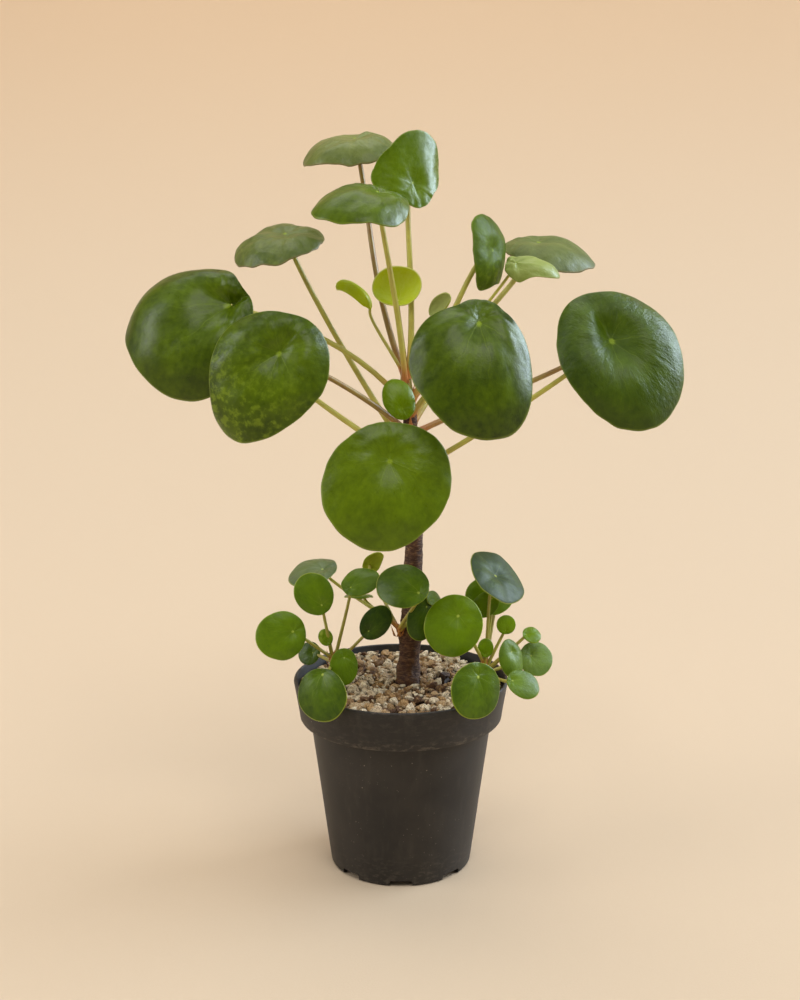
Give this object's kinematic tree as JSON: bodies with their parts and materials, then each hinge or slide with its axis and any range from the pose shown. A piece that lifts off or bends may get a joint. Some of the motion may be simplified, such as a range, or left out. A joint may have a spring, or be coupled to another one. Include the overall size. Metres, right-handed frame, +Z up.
{
  "type": "potted pilea plant",
  "caption": "Small tree-like pilea with round, coin-shaped leaves on long stalks, young offshoots and pumice grit in a plain dark nursery pot.",
  "frame": {"origin": "the pot's axis at the level that the pot stands on, which is also about the middle of the plant's box", "axes": "+Z up; the picture looks along +Y, with +X to the right, so the plant's front faces -Y"},
  "size_m": [0.297, 0.1585, 0.4055],
  "materials": {
    "pot_plastic": "matte charcoal, moulded",
    "soil": "dark crumbly potting mix",
    "pumice": "rough beige and tan grains",
    "bark": "dull purplish brown with pale leaf scars",
    "stalk": "satin olive to bronze",
    "leaf": "glossy dark green, waxy",
    "young_leaf": "satin yellow green",
    "offshoot_leaf": "satin mid green"
  },
  "bodies": {
    "root": {"pot": "pot_plastic", "potting_soil": "soil", "pumice_grit": "pumice", "trunk": "bark", "crown_stalks": "stalk", "leaf_top_left": "leaf", "leaf_top": "leaf", "leaf_upper_front": "leaf", "leaf_upper_left": "leaf", "leaf_left": "leaf", "leaf_front_left": "leaf", "leaf_front": "leaf", "leaf_front_right": "leaf", "leaf_right": "leaf", "leaf_edge_right": "leaf", "leaf_back_right": "leaf", "leaf_pale_right": "young_leaf", "leaf_young_cupped": "young_leaf", "leaf_young_curled": "young_leaf", "leaf_young_folded": "young_leaf", "leaf_youngest": "young_leaf", "leaf_back_left": "leaf", "leaf_back_far_right": "leaf", "leaf_back": "leaf", "leaf_back_upper": "leaf", "left_offshoot": "offshoot_leaf", "right_offshoot": "offshoot_leaf", "side_shoot": "offshoot_leaf"}
  },
  "joints": []
}
